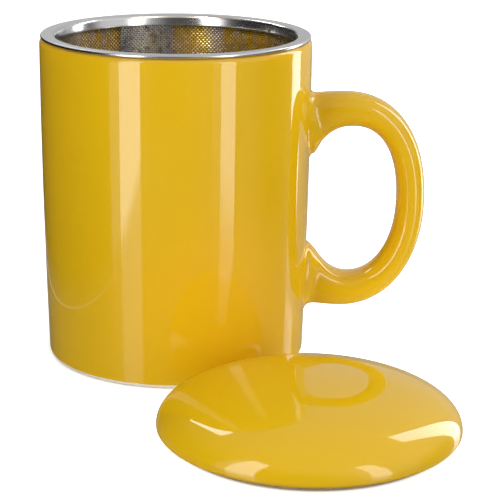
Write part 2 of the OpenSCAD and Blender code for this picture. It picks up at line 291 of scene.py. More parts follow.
def close_tree(tree, geometry, sizes):
    """Ends a tree: instances made real, the material set, smooth shading."""
    real = add(tree, "GeometryNodeRealizeInstances", [geometry])
    smooth = add(tree, "GeometryNodeSetShadeSmooth", {"Geometry": real})
    dressed = add(tree, "GeometryNodeSetMaterial", {"Geometry": smooth, "Material": sizes["Material"]})
    add(tree, "NodeGroupOutput", [dressed])


def grow(name, tree, sizes, start=None):
    """Runs a tree over a starting mesh and keeps the result as a plain mesh."""
    maker = put(name, start or bpy.data.meshes.new(name))
    modifier = maker.modifiers.new("form", "NODES")
    modifier.node_group = tree
    for item in tree.interface.items_tree:
        if item.in_out == "INPUT" and item.name in sizes:
            modifier[item.identifier] = sizes[item.name]
    graph = bpy.context.evaluated_depsgraph_get()
    made = bpy.data.meshes.new_from_object(maker.evaluated_get(graph), depsgraph=graph)
    bpy.data.objects.remove(maker)
    return made


def turning_tree():
    """Turns an outline, given as a chain of points in the XZ plane, about the Z axis."""
    tree, size = new_tree("turned_form", {"Steps round": 256, "Outline points": 2})
    columns = add(tree, "ShaderNodeMath", [size["Steps round"], 1], operation="ADD")
    grid = add(tree, "GeometryNodeMeshGrid", {"Vertices X": columns, "Vertices Y": size["Outline points"]})
    index = add(tree, "GeometryNodeInputIndex")
    along = add(tree, "ShaderNodeMath", [index, size["Outline points"]], operation="MODULO")
    turn = add(tree, "ShaderNodeMath", [index, size["Outline points"]], operation="DIVIDE")
    turn = add(tree, "ShaderNodeMath", [turn], operation="FLOOR")
    turn = add(tree, "ShaderNodeMath", [turn, size["Steps round"]], operation="DIVIDE")
    turn = add(tree, "ShaderNodeMath", [turn, 2 * math.pi], operation="MULTIPLY")
    place = add(tree, "GeometryNodeInputPosition")
    point = add(tree, "GeometryNodeSampleIndex",
                {"Geometry": size["Geometry"], "Value": place, "Index": along}, data_type="FLOAT_VECTOR")
    spun = add(tree, "ShaderNodeVectorRotate", {"Vector": point, "Angle": turn}, rotation_type="Z_AXIS")
    moved = add(tree, "GeometryNodeSetPosition", {"Geometry": grid, "Position": spun})
    closed = add(tree, "GeometryNodeMergeByDistance", {"Geometry": moved, "Distance": 1e-7})
    close_tree(tree, closed, size)
    return tree


def thread_chain(tree, threads, crossings):
    """One chain of points, cut where one thread ends and the next begins. Gives the chain, and for each point
    its crossing and its thread, and the last crossing's number, all counted from 0."""
    total = add(tree, "ShaderNodeMath", [threads, crossings], operation="MULTIPLY")
    chain = add(tree, "GeometryNodeMeshLine", {"Count": total})
    index = add(tree, "GeometryNodeInputIndex")
    cross = add(tree, "ShaderNodeMath", [index, crossings], operation="MODULO")
    thread = add(tree, "ShaderNodeMath", [index, crossings], operation="DIVIDE")
    thread = add(tree, "ShaderNodeMath", [thread], operation="FLOOR")
    last = add(tree, "ShaderNodeMath", [crossings, -1], operation="ADD")
    ends = add(tree, "ShaderNodeMath", [cross, last], operation="COMPARE")
    cut = add(tree, "GeometryNodeDeleteGeometry", {"Geometry": chain, "Selection": ends},
              domain="EDGE", mode="EDGE_FACE")
    return cut, cross, thread, last


def over_and_under(tree, cross, thread, other_set):
    """1 or -1: every second crossing lies on the other face, and the two sets take opposite faces."""
    side = add(tree, "ShaderNodeMath", [cross, thread], operation="ADD")
    side = add(tree, "ShaderNodeMath", [side, other_set], operation="ADD")
    side = add(tree, "ShaderNodeMath", [side, 2], operation="MODULO")
    return add(tree, "ShaderNodeMapRange", [side, 0.0, 1.0, -1.0, 1.0])


def lay_threads(tree, chain, spot, side):
    """Moves the chain's points to their spots and notes each one's face, which the wire's material reads to
    place its painted highlights.
    """
    laid = add(tree, "GeometryNodeSetPosition", {"Geometry": chain, "Position": spot})
    return add(tree, "GeometryNodeStoreNamedAttribute", {"Geometry": laid, "Name": "knuckle", "Value": side},
               data_type="FLOAT", domain="POINT")


def close_wire_tree(tree, curve, size):
    """Ends a tree of threads: each curve becomes a wire of four faces round."""
    profile = add(tree, "GeometryNodeCurvePrimitiveCircle",
                  {"Resolution": 4, "Radius": size["Thread radius"]})
    wire = add(tree, "GeometryNodeCurveToMesh", {"Curve": curve, "Profile Curve": profile, "Fill Caps": True})
    close_tree(tree, wire, size)


def weaving_tree():
    """One set of threads of a wire cloth round a tapered wall."""
    sizes = {"Threads": 2, "Crossings": 2, "Upright": True, "Low": 0.0, "High": 1.0, "Taper low": 0.0,
             "Taper high": 1.0, "Low radius": 1.0, "High radius": 1.0, "Start": 0.0, "Sweep": 6.28,
             "Wave": 0.0001, "Thread radius": 0.0001}
    tree, size = new_tree("woven_wall", sizes)
    threads, crossings, upright = size["Threads"], size["Crossings"], size["Upright"]
    chain, cross, thread, _ = thread_chain(tree, threads, crossings)
    # Steps round the wall and up it: an upright thread has one place round it, a ring has one height
    ring = add(tree, "ShaderNodeMath", [1.0, upright], operation="SUBTRACT")
    around, above, rounds, rows = (
        add(tree, "ShaderNodeMix", [upright, on_ring, on_upright], data_type="FLOAT") for on_ring, on_upright
        in ((cross, thread), (thread, cross), (crossings, threads), (threads, crossings)))
    rows = add(tree, "ShaderNodeMath", [rows, -1], operation="ADD")
    turn = add(tree, "ShaderNodeMath", [around, rounds], operation="DIVIDE")
    turn = add(tree, "ShaderNodeMath", [turn, size["Sweep"], size["Start"]], operation="MULTIPLY_ADD")
    share = add(tree, "ShaderNodeMath", [above, rows], operation="DIVIDE")
    height = add(tree, "ShaderNodeMapRange", [share, 0.0, 1.0, size["Low"], size["High"]])
    radius = add(tree, "ShaderNodeMapRange",
                 [height, size["Taper low"], size["Taper high"], size["Low radius"], size["High radius"]])
    side = over_and_under(tree, around, above, ring)
    radius = add(tree, "ShaderNodeMath", [side, size["Wave"], radius], operation="MULTIPLY_ADD")
    spot = add(tree, "ShaderNodeCombineXYZ", [radius, 0.0, height])
    spot = add(tree, "ShaderNodeVectorRotate", {"Vector": spot, "Angle": turn}, rotation_type="Z_AXIS")
    curve = add(tree, "GeometryNodeMeshToCurve", [lay_threads(tree, chain, spot, side)])
    # A ring that goes all the way round is closed
    full = add(tree, "ShaderNodeMath", [size["Sweep"], 6.28], operation="GREATER_THAN")
    loop = add(tree, "ShaderNodeMath", [full, ring], operation="MULTIPLY")
    curve = add(tree, "GeometryNodeSetSplineCyclic", {"Geometry": curve, "Cyclic": loop})
    close_wire_tree(tree, curve, size)
    return tree


def floor_cloth_tree():
    """One set of threads of a flat round piece of wire cloth; the other set is the same turned a quarter."""
    sizes = {"Threads": 3, "Pitch": 0.001, "Disc radius": 0.03, "Height": 0.0, "Turned": False,
             "Wave": 0.0001, "Thread radius": 0.0001}
    tree, size = new_tree("woven_disc", sizes)
    chain, cross, thread, last = thread_chain(tree, size["Threads"], size["Threads"])
    middle = add(tree, "ShaderNodeMath", [last, 0.5], operation="MULTIPLY")
    side = over_and_under(tree, cross, thread, size["Turned"])
    height = add(tree, "ShaderNodeMath", [side, size["Wave"], size["Height"]], operation="MULTIPLY_ADD")
    along = add(tree, "ShaderNodeMath", [cross, middle], operation="SUBTRACT")
    along = add(tree, "ShaderNodeMath", [along, size["Pitch"]], operation="MULTIPLY")
    beside = add(tree, "ShaderNodeMath", [thread, middle], operation="SUBTRACT")
    beside = add(tree, "ShaderNodeMath", [beside, size["Pitch"]], operation="MULTIPLY")
    x = add(tree, "ShaderNodeMix", [size["Turned"], along, beside], data_type="FLOAT")
    y = add(tree, "ShaderNodeMix", [size["Turned"], beside, along], data_type="FLOAT")
    laid = lay_threads(tree, chain, add(tree, "ShaderNodeCombineXYZ", [x, y, height]), side)
    flat = add(tree, "ShaderNodeCombineXYZ", [x, y, 0.0])
    reach = add(tree, "ShaderNodeVectorMath", [flat], operation="LENGTH")
    outside = add(tree, "ShaderNodeMath", [reach, size["Disc radius"]], operation="GREATER_THAN")
    trimmed = add(tree, "GeometryNodeDeleteGeometry", {"Geometry": laid, "Selection": outside},
                  domain="POINT")
    close_wire_tree(tree, add(tree, "GeometryNodeMeshToCurve", [trimmed]), size)
    return tree


def weld_tree():
    """A ring of spot welds: low round buttons pressed on a band, all alike."""
    sizes = {"Welds": 2, "First": 0.0, "Band radius": 0.03, "Height": 0.0, "Button radius": 0.001,
             "Rise": 0.0001}
    tree, size = new_tree("spot_weld_ring", sizes)
    points = add(tree, "GeometryNodePoints", {"Count": size["Welds"]})
    index = add(tree, "GeometryNodeInputIndex")
    step = add(tree, "ShaderNodeMath", [index, size["Welds"]], operation="DIVIDE")
    turn = add(tree, "ShaderNodeMath", [step, 2 * math.pi, size["First"]], operation="MULTIPLY_ADD")
    spot = add(tree, "ShaderNodeCombineXYZ", [size["Band radius"], 0.0, size["Height"]])
    spot = add(tree, "ShaderNodeVectorRotate", {"Vector": spot, "Angle": turn}, rotation_type="Z_AXIS")
    placed = add(tree, "GeometryNodeSetPosition", {"Geometry": points, "Position": spot})
    button = add(tree, "GeometryNodeMeshUVSphere", {"Segments": 16, "Rings": 8, "Radius": 1.0})
    shape = add(tree, "ShaderNodeCombineXYZ", [size["Rise"], size["Button radius"], size["Button radius"]])
    facing = add(tree, "ShaderNodeCombineXYZ", [0.0, 0.0, turn])
    welds = add(tree, "GeometryNodeInstanceOnPoints",
                {"Points": placed, "Instance": button, "Rotation": facing, "Scale": shape})
    close_tree(tree, welds, size)
    return tree


# ---------------- outlines of the turned pieces
def arc(centre, radius, start, end, steps, tall=None):
    """Points along an arc in the outline's plane, angles in degrees; tall gives an oval's upright radius."""
    tall = radius if tall is None else tall
    angles = [math.radians(start + (end - start) * i / steps) for i in range(steps + 1)]
    return [(centre[0] + radius * math.cos(a), centre[1] + tall * math.sin(a)) for a in angles]


def rounded(corners, radius, steps=4):
    """A closed outline with every corner rounded, and a point beside each rounding to keep the flats flat."""
    made = []
    for i, here in enumerate(corners):
        p = Vector(here)
        before = Vector(corners[i - 1]) - p
        after = Vector(corners[(i + 1) % len(corners)]) - p
        cut = min(radius, before.length / 2.5, after.length / 2.5)
        first, last = p + before.normalized() * cut, p + after.normalized() * cut
        made.append(tuple(first + before.normalized() * cut * 0.3))
        for k in range(steps + 1):
            t = k / steps
            made.append(tuple(first * (1 - t) ** 2 + p * 2 * t * (1 - t) + last * t ** 2))
        made.append(tuple(last + after.normalized() * cut * 0.3))
    return made


def side_r(z):
    """Radius of the cup's side at height z: a slight taper with a slight swell."""
    t = z / CUP_TOP
    return FOOT_R + (LIP_R - FOOT_R) * t + 4 * SWELL * t * (1 - t)


def cup_outline():
    """From the middle of the recess, round the foot ring, up the side, over the lip and down inside."""
    foot_out = side_r(FOOT_CORNER) - FOOT_CORNER
    foot_in = foot_out - FOOT_RING_W
    low, high = FOOT_CORNER, CUP_TOP - LIP_ROUND_OUT
    inner_high, inner_low = CUP_TOP - 4, FLOOR_Z + FLOOR_CORNER
    return [
        (0, FOOT_RECESS), (20, FOOT_RECESS),
        *[(foot_in + across, z) for across, z in FOOT_INNER_EDGE],
        (foot_out - 1, 0), (foot_out - 0.3, 0),
        *arc((foot_out, FOOT_CORNER), FOOT_CORNER, -90, 0, 14),
        *[(side_r(z), z) for z in (low + (high - low) * i / 60 for i in range(1, 61))],
        *arc((LIP_R - LIP_ROUND_OUT, high), LIP_ROUND_OUT, 6, 90, 12),
        *arc((MOUTH_R + LIP_ROUND_IN, CUP_TOP - LIP_ROUND_IN), LIP_ROUND_IN, 90, 176, 10),
        *[(MOUTH_R - DRAFT * i / 24, inner_high + (inner_low - inner_high) * i / 24) for i in range(25)],
        *arc((MOUTH_R - DRAFT - FLOOR_CORNER, inner_low), FLOOR_CORNER, -5, -90, 14),
        (24, FLOOR_Z), (12, FLOOR_Z), (4, FLOOR_Z), (0, FLOOR_Z),
    ]


def dome(radius, low, rise, steps):
    """Outline of a full dome, from its widest point to the axis, in even steps of angle."""
    power = 2 / LID_FULLNESS
    made = []
    for i in range(steps):
        a = math.radians(90 * i / steps)
        made.append((radius * math.cos(a) ** power, low + rise * math.sin(a) ** power))
    return [*made, (0.0, low + rise)]


def lid_outline():
    """From the top of the hollow, down inside the locating ring, out along the rim and over the dome."""
    return [
        *dome(RING_IN_R, RING_ROUND, LID_TOP - LID_WALL - RING_ROUND, 40)[::-1],
        *arc((RING_IN_R + RING_ROUND, RING_ROUND), RING_ROUND, 190, 270, 7),
        (RING_IN_R + 1.2, 0), (RING_OUT_R - 1.2, 0),
        *arc((RING_OUT_R - RING_ROUND, RING_ROUND), RING_ROUND, 270, 360, 7),
        *[(RING_OUT_R + across, LID_RIM_Z - below) for across, below in RING_CORNER],
        (LID_R - LID_EDGE_ROUND - 1, LID_RIM_Z),
        *arc((LID_R - LID_EDGE_ROUND, LID_EDGE_Z), LID_EDGE_ROUND, -90, -6, 14, LID_EDGE_Z - LID_RIM_Z),
        *dome(LID_R, LID_EDGE_Z, LID_TOP - LID_EDGE_Z, 110),
    ]


def rim_outline():
    """The flange's sheet as a closed outline: rolled edge, flat top, and a collar with the punch's draft."""
    hem_r, hem_in = HEM_T / 2, FLANGE_R - HEM_W
    seat, under = FLANGE_TOP - HEM_T, FLANGE_TOP - SHEET
    low, outside = COLLAR_LOW, COLLAR_R + SHEET
    draft = math.radians(COLLAR_DRAFT)
    bend_z = FLANGE_TOP - COLLAR_ROLL
    foot = (COLLAR_R, low + 0.3)
    head_z = bend_z + COLLAR_ROLL * math.sin(draft)
    head = (COLLAR_R + (head_z - foot[1]) * math.tan(draft), head_z)
    centre = (head[0] + COLLAR_ROLL * math.cos(draft), bend_z)
    back = (COLLAR_R + COLLAR_BEND, FLANGE_TOP - COLLAR_BEND_DROP)
    return [
        (hem_in, under), (hem_in, under - 0.05),
        *arc((hem_in + HEM_SOFT, seat + HEM_SOFT), HEM_SOFT, 180, 270, 5),
        (hem_in + 0.4, seat), (FLANGE_R - hem_r - 0.15, seat),
        *arc((FLANGE_R - hem_r, seat + hem_r), hem_r, -90, 90, 16),
        (FLANGE_R - hem_r - 0.15, FLANGE_TOP), (FLANGE_R - 1.6, FLANGE_TOP),
        (centre[0] + 0.6, FLANGE_TOP), (centre[0] + 0.15, FLANGE_TOP),
        *arc(centre, COLLAR_ROLL, 90, 180 - COLLAR_DRAFT, 24),
        *[(head[0] + (foot[0] - head[0]) * t, head[1] + (foot[1] - head[1]) * t)
          for t in (0.06, 0.35, 0.65, 1.0)],
        (COLLAR_R, low + 0.15),
        *arc((COLLAR_R + SHEET_SOFT, low + SHEET_SOFT), SHEET_SOFT, 180, 270, 4),
        *arc((outside - SHEET_SOFT, low + SHEET_SOFT), SHEET_SOFT, 270, 360, 4),
        (outside, low + 0.2), (outside, back[1] - 0.1),
        *arc(back, COLLAR_BEND - SHEET, 180, 90, 12, under - back[1]),
        (back[0] + 0.1, under),
    ]


# ---------------- the handle
def signed_power(value, power):
    """A power that keeps its base's sign."""
    return math.copysign(abs(value) ** power, value)


def handle_point(wall, crown, right, left, half_tall, degrees):
    """Point on an upright outline of the handle, by its angle from the grip."""
    power = 2 / (TOP_POWER if degrees > 0 else FOOT_POWER)
    a = math.radians(degrees)
    across = left if abs(degrees) > 90 else right
    return Vector((wall + crown + across * signed_power(math.cos(a), power),
                   HANDLE_MID_Z + half_tall * signed_power(math.sin(a), power)))


def strap_pair(s):
    """Outer and inner edge of the strap at station s; past 1 and -1 it runs on into the cup's wall."""
    wall = side_r(HANDLE_MID_Z)
    t = max(-1.0, min(1.0, s))
    outer = handle_point(wall, OUTER_CROWN, HANDLE_REACH - OUTER_CROWN, OUTER_RUN, OUTER_HALF,
                         t * OUTER_SWEEP)
    inner = handle_point(wall, LOOP_CROWN, LOOP_RIGHT, LOOP_LEFT, LOOP_HALF, t * LOOP_SWEEP)
    past = abs(s) - abs(t)
    if past > 0:
        sunk = Vector((wall - ROOT_SINK, HANDLE_MID_Z + (inner.y - HANDLE_MID_Z) * ROOT_PINCH))
        inner = inner.lerp(sunk, past / ROOT_RUN)
        outer = outer.lerp(Vector((wall - ROOT_SINK - 1, outer.y)), past / ROOT_RUN)
    return outer, inner


def smooth_pair(s):
    """The strap's two edges averaged over a short run, which softens the shoulder at each root."""
    total = sum(weight for _, weight in SMOOTHING)
    outer, inner = Vector((0, 0)), Vector((0, 0))
    for step, weight in SMOOTHING:
        a, b = strap_pair(s + step)
        outer += a * weight / total
        inner += b * weight / total
    return outer, inner


def strap_point(s, turn):
    """Point on the strap's skin at station s, turn degrees round its section."""
    outer, inner = smooth_pair(s)
    mid, half = (outer + inner) / 2, (outer - inner) / 2
    wall = side_r(HANDLE_MID_Z)
    flare = ROOT_FLARE * (1 - min(1, max(0, mid.x - wall) / (2 * ROOT_FLARE))) ** 2
    up = half * (1 + flare / half.length)
    c = signed_power(math.cos(math.radians(turn)), 2 / STRAP_POWER)
    w = signed_power(math.sin(math.radians(turn)), 2 / STRAP_POWER)
    return Vector((mid.x + up.x * c, (HANDLE_W / 2 + flare) * w, mid.y + up.y * c))


def wall_x(point):
    """Where the cup's side lies at a point's height and distance from the handle's middle plane."""
    r = side_r(max(0.0, point.z))
    return math.sqrt(max(0.0, r * r - point.y * point.y))


def wall_station(turn, end, distance):
    """Station on the half of the strap towards end (1 or -1) where its skin is distance off the wall."""
    near, far = 0.5, 1 + ROOT_RUN
    for _ in range(34):
        middle = (near + far) / 2
        p = strap_point(end * middle, turn)
        if p.x - wall_x(p) > distance:
            near = middle
        else:
            far = middle
    return end * (near + far) / 2


def pooled_root(turn, end, steps):
    """Points where the strap meets the cup at one end, turn degrees round its section: a small fillet of
    pooled glaze that leaves the strap's skin and lands on the cup's, and the skirt past it."""
    points = []
    for j in range(steps + 1):
        beta = math.pi / 2 * j / steps
        distance = ROOT_POOL * (1 - math.sin(beta))
        s = wall_station(turn, end, distance)
        p = strap_point(s, turn)
        along = strap_point(s - end * 0.004, turn) - p
        around = strap_point(s, turn + 0.5) - strap_point(s, turn - 0.5)
        normal = along.cross(around).normalized()
        outer, inner = smooth_pair(s)
        mid = (outer + inner) / 2
        if normal.dot(p - Vector((mid.x, 0, mid.y))) < 0:
            normal = -normal
        spread = Vector((0, normal.y, normal.z))
        moved = p + spread * ROOT_POOL * (1 - math.cos(beta))
        moved.x = wall_x(moved) + distance
        points.append(moved)
    landing = points[steps]
    for outward, depth in POOL_SKIRT:
        skirt = landing + spread.normalized() * outward
        skirt.x = wall_x(skirt) - depth
        points.append(skirt)
    return points


def handle_mesh(around=64, along=150, pool_steps=7):
    """The strap swept round its two outlines, from one root's pool of glaze to the other's."""
    columns = []
    for k in range(around):
        turn = 360 * k / around
        first, last = wall_station(turn, -1, ROOT_POOL), wall_station(turn, 1, ROOT_POOL)
        body = [strap_point(first + (last - first) * i / along, turn) for i in range(1, along)]
        columns.append(pooled_root(turn, -1, pool_steps)[::-1] + body + pooled_root(turn, 1, pool_steps))
    mesh = bmesh.new()
    rings = len(columns[0])
    grid = [[mesh.verts.new(p * MM) for p in column] for column in columns]
    for k in range(around):
        after = grid[(k + 1) % around]
        for i in range(rings - 1):
            mesh.faces.new((grid[k][i], after[i], after[i + 1], grid[k][i + 1]))
    for i in (0, rings - 1):
        ring = [column[i] for column in grid]
        centre = mesh.verts.new(sum((v.co for v in ring), Vector()) / around)
        for k in range(around):
            mesh.faces.new((ring[k], ring[(k + 1) % around], centre))
    return mesh


# ---------------- pieces
def finish_mesh(name, mesh, material=None):
    """Puts a bmesh or mesh into a piece with its faces pointing outwards and smooth."""
    if isinstance(mesh, bmesh.types.BMesh):
        form = mesh
        mesh = bpy.data.meshes.new(name)
    else:
        form = bmesh.new()
        form.from_mesh(mesh)
    bmesh.ops.remove_doubles(form, verts=form.verts, dist=1e-8)
    bmesh.ops.recalc_face_normals(form, faces=form.faces)
    for face in form.faces:
        face.smooth = True
    form.to_mesh(mesh)
    form.free()
    if material is not None:
        mesh.materials.append(material)
    mesh.name = name
    return put(name, mesh)


def turned(name, outline, material, closed=False, place=(0, 0)):
    """A piece turned from an outline in millimetres. A closed one is a ring, an open one ends on the axis."""
    points = list(outline) + ([outline[0]] if closed else [])
    edges = [(i, i + 1) for i in range(len(points) - 1)]
    chain = bpy.data.meshes.new(name)
    chain.from_pydata([(r * MM, 0, z * MM) for r, z in points], edges, [])
    mesh = grow(name, turning, {"Outline points": len(points), "Material": material}, chain)
    mesh.transform(Matrix.Translation((place[0] * MM, place[1] * MM, 0)))
    return finish_mesh(name, mesh)


def keep(piece, body, slot, *nodes):
    """Gives a finished piece its body and hides the imported solids that it stands for. Its slot is not used.
    """
    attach(piece, body)
    if nodes:
        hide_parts(*nodes)


glaze = yellow_glazed_stoneware()
steel = pressed_stainless()
weld = spot_welded_stainless()
# The weft runs across the cloth. Its dark colour is painted shade, and its knuckles on the inner face carry a
# painted highlight.
weft_wire = stainless_wire("rolled_weft_wire", "605B51", "F4F2EE", 0.2, rolled=True)
# The warp runs along the cloth. Its dull grey-brown is painted shade, warmed as a painted reflection of the
# glaze, with drawing marks through it.
warp_wire = stainless_wire("annealed_warp_wire", "5F5747", "7B715D", 0.3, rolled=False)
# The lap's wire: a cold even grey, with a painted highlight on its knuckles on the inner face
lap_wire = stainless_wire("pickled_lap_wire", "75767B", "C8C9CE", 0.24, rolled=True)

turning = turning_tree()
weaving = weaving_tree()
flooring = floor_cloth_tree()
welding = weld_tree()

keep(turned("glazed_cup", cup_outline(), glaze), "mug", "yellow_glaze", "cup")
keep(finish_mesh("strap_handle", handle_mesh(), glaze), "mug", "yellow_glaze", "handle")
keep(turned("domed_lid", lid_outline(), glaze, place=LID_PLACE), "lid", "yellow_glaze", "lid")

band_r = MESH_TOP_R + MESH_T
collar_band = rounded([(band_r, COLLAR_LOW), (band_r + BAND_T, COLLAR_LOW), (band_r + BAND_T, MESH_TOP),
                       (band_r, MESH_TOP)], BAND_SOFT)
pan_in, pan_out = MESH_BASE_R + MESH_T, MESH_BASE_R + MESH_T + BAND_T
base_pan = rounded([(BASE_OPEN_R, BASE_Z), (pan_out - 0.2, BASE_Z), (pan_out, BASE_Z + 0.2),
                    (pan_out, BASE_BAND_TOP), (pan_in, BASE_BAND_TOP), (pan_in, BASE_Z + BAND_T),
                    (BASE_OPEN_R, BASE_Z + BAND_T)], BAND_SOFT)
clamp_low, clamp_out = BASE_Z + BAND_T + MESH_T, MESH_BASE_R - 0.02
clamp_ring = rounded([(BASE_OPEN_R, clamp_low), (clamp_out, clamp_low), (clamp_out, clamp_low + SHEET),
                      (BASE_OPEN_R, clamp_low + SHEET)], CLAMP_SOFT)
for name, outline, node in (("pressed_rim", rim_outline(), "rim_flange"),
                            ("collar_clamp_band", collar_band, "collar_band"),
                            ("base_pan_band", base_pan, "base_band"),
                            ("floor_clamp_ring", clamp_ring, "base_clamp_ring")):
    keep(turned(name, outline, steel, closed=True), "infuser", "satin_steel", node)

# Wire cloth of the wall: as many whole pitches round and up as the wall takes, an even count round it.
# Each set of threads is kept in two parts, so that no piece is too heavy.
wall_threads = 4 * round(math.pi * (MESH_BASE_R + MESH_TOP_R + MESH_T) / 4 / THREAD_PITCH)
wall_low, wall_high = BASE_Z + BAND_T + THREAD_D / 2, MESH_TOP - THREAD_D / 2
wall_rings = 1 + 2 * round((wall_high - wall_low) / THREAD_PITCH / 2)
wall_pitch = (wall_high - wall_low) / (wall_rings - 1)
low_rings = 2 * (wall_rings // 4)
wall = {
    "Low": wall_low * MM, "High": wall_high * MM, "Taper low": BASE_BAND_TOP * MM,
    "Taper high": COLLAR_LOW * MM, "Low radius": (MESH_BASE_R + MESH_T / 2) * MM,
    "High radius": (MESH_TOP_R + MESH_T / 2) * MM, "Start": 0.0, "Sweep": 2 * math.pi,
    "Wave": THREAD_WAVE * MM, "Thread radius": THREAD_D / 2 * MM, "Material": weft_wire,
}
half_wall = {"Upright": True, "Threads": wall_threads // 2, "Crossings": wall_rings, "Sweep": math.pi,
             "Material": warp_wire}
low_wall = {"Upright": False, "Threads": low_rings, "Crossings": wall_threads,
            "High": (wall_low + wall_pitch * (low_rings - 1)) * MM}
high_wall = {"Upright": False, "Threads": wall_rings - low_rings, "Crossings": wall_threads,
             "Low": (wall_low + wall_pitch * low_rings) * MM}

# The wall's lap, inside it
lap_in = MESH_T / 2 + 0.02
lap_sweep = SEAM_W / MESH_TOP_R
lap = {
    "Low": (BASE_BAND_TOP + 0.2) * MM, "High": (COLLAR_LOW - 0.2) * MM,
    "Low radius": (MESH_BASE_R - lap_in) * MM, "High radius": (MESH_TOP_R - lap_in) * MM,
    "Start": math.radians(SEAM_BEARING) - lap_sweep / 2, "Sweep": lap_sweep, "Material": lap_wire,
}
lap_rings = 1 + round((COLLAR_LOW - BASE_BAND_TOP - 0.4) / THREAD_PITCH)
lap_threads = round(SEAM_W / THREAD_PITCH)
lap_upright = {**lap, "Upright": True, "Threads": lap_threads, "Crossings": lap_rings}
lap_across = {**lap, "Upright": False, "Threads": lap_rings, "Crossings": lap_threads}

for name, sizes, node in (("wall_upright_wires_left", {**half_wall, "Start": math.pi}, "side_mesh"),
                          ("wall_upright_wires_right", half_wall, "side_mesh"),
                          ("wall_ring_wires_low", low_wall, "side_mesh"),
                          ("wall_ring_wires_high", high_wall, "side_mesh"),
                          ("lap_upright_wires", lap_upright, "side_seam"),
                          ("lap_cross_wires", lap_across, "side_seam")):
    keep(finish_mesh(name, grow(name, weaving, {**wall, **sizes})), "infuser", "woven_mesh", node)

disc_r = MESH_BASE_R - 0.2
disc = {
    "Threads": 1 + 2 * math.ceil(disc_r / THREAD_PITCH), "Pitch": THREAD_PITCH * MM,
    "Disc radius": disc_r * MM, "Height": (BASE_Z + BAND_T + MESH_T / 2) * MM,
    "Wave": THREAD_WAVE * MM, "Thread radius": THREAD_D / 2 * MM,
}
for name, turned_over, wire in (("floor_wires_along", False, weft_wire),
                                ("floor_wires_across", True, warp_wire)):
    mesh = grow(name, flooring, {**disc, "Turned": turned_over, "Material": wire})
    keep(finish_mesh(name, mesh), "infuser", "woven_mesh", "base_mesh")

collar_mid = (COLLAR_LOW + MESH_TOP) / 2
for name, count, first, radius, height, rise, nodes in (
        ("collar_spot_welds", COLLAR_WELDS, COLLAR_WELD_BEARING, band_r + BAND_T, collar_mid, WELD_RISE,
         ["collar_welds"]),
        ("collar_weld_dimples", COLLAR_WELDS, COLLAR_WELD_BEARING, COLLAR_R, collar_mid, DIMPLE_RISE, []),
        ("base_spot_welds", BASE_WELDS, BASE_WELD_BEARING, pan_out, BASE_Z + BASE_WELD_UP, WELD_RISE,
         ["base_welds"])):
    mesh = grow(name, welding, {
        "Welds": count, "First": math.radians(first), "Band radius": radius * MM, "Height": height * MM,
        "Rise": rise * MM, "Button radius": WELD_D / 2 * MM, "Material": weld})
    keep(finish_mesh(name, mesh), "infuser", "weld_steel", *nodes)


# ---------------- lamps
def toward(bearing, lift):
    """Direction by its bearing, in degrees from -Y and growing towards +X, and its lift above the table."""
    a, e = math.radians(bearing), math.radians(lift)
    return Vector((math.sin(a) * math.cos(e), -math.cos(a) * math.cos(e), math.sin(e)))


def hang(data, place, turn):
    """Puts a lamp at a place in millimetres."""
    lamp = put(data.name, data)
    lamp.location = place * MM
    lamp.rotation_mode = "QUATERNION"
    lamp.rotation_quaternion = turn
    return lamp


def lit_face(name, width, tall, radiance, place, turn):
    """A flat lamp in millimetres, unseen by the camera. Radiance is the brightness that its face shows."""
    data = bpy.data.lights.new(name, "AREA")
    data.shape = "RECTANGLE"
    data.size, data.size_y = width * MM, tall * MM
    data.energy = radiance * math.pi * width * tall * MM * MM
    lamp = hang(data, place, turn)
    lamp.visible_camera = False
    return lamp


# Soft boxes stand upright and look at the axis: bearing, distance from the axis, shift sideways in their own
# plane, height of their middle, width, height, radiance, and roll in degrees
for name, bearing, away, along, middle, width, tall, radiance, roll in (
        ("front_left_box", -75, 250, 207, 150, 121, 560, 5.2, 0),
        ("front_left_edge", -75, 250, 125, 150, 42, 560, 0.9, 0),
        ("front_right_box", 45, 400, -24, 130, 86, 540, 4.4, 0),
        ("front_right_edge", 45, 400, -92, 130, 48, 540, 0.5, 0),
        ("rear_right_box", 155, 280, -236, 180, 108, 600, 5.2, 0),
        ("rear_left_box", -150, 300, 35, 390, 80, 260, 6.5, -12)):
    back = toward(bearing, 0)
    lit_face(name, width, tall, radiance,
             back * away + toward(bearing + 90, 0) * along + Vector((0, 0, middle)),
             back.to_track_quat("Z", "Y") @ Quaternion((0, 0, 1), math.radians(roll)))

# A lit card lies on the table beside the handle; it fills the undersides and isn't mirrored
card = lit_face("table_card", 100, 180, 0.75, Vector((112, 30, 0.5)), Quaternion((1, 0, 0), math.pi))
card.visible_glossy = False

# Small round lamps: the point that each shines on, its bearing, lift and distance from there, its cone in
# degrees and how soft the cone's edge is, watts, tint, and whether it is mirrored. Two shine down through the
# mouth on the far side of the basket and miss the cup's outside. The third adds to the glow that the lid's
# glaze throws on the foot of the wall behind it.
for name, aim, bearing, lift, away, cone, blend, watts, tint, mirrored in (
        ("mouth_beam_left", (0, 22, CUP_TOP), -35, 50, 1000, 4.6, 0.25, 39.0, (1.0, 0.79, 0.5), True),
        ("mouth_beam_right", (0, 22, CUP_TOP), 35, 50, 1000, 4.6, 0.25, 34.0, (1.0, 0.79, 0.5), True),
        ("lid_glow", (9, -39, 24), 8, 24, 260, 15, 1.0, 0.42, (1.0, 0.5, 0.1), False)):
    data = bpy.data.lights.new(name, "SPOT")
    data.energy, data.color = watts, tint
    data.spot_size, data.spot_blend = math.radians(cone), blend
    data.shadow_soft_size = 12 * MM
    back = toward(bearing, lift)
    hang(data, back * away + Vector(aim), back.to_track_quat("Z", "Y")).visible_glossy = mirrored


# ---------------- table and room
TABLE_PAINT = "CCCBC8"
# How brightly the table glows near the object, and the distances over which that rises to full white
TABLE_GLOW, GLOW_START, GLOW_END = 0.72, 150, 260
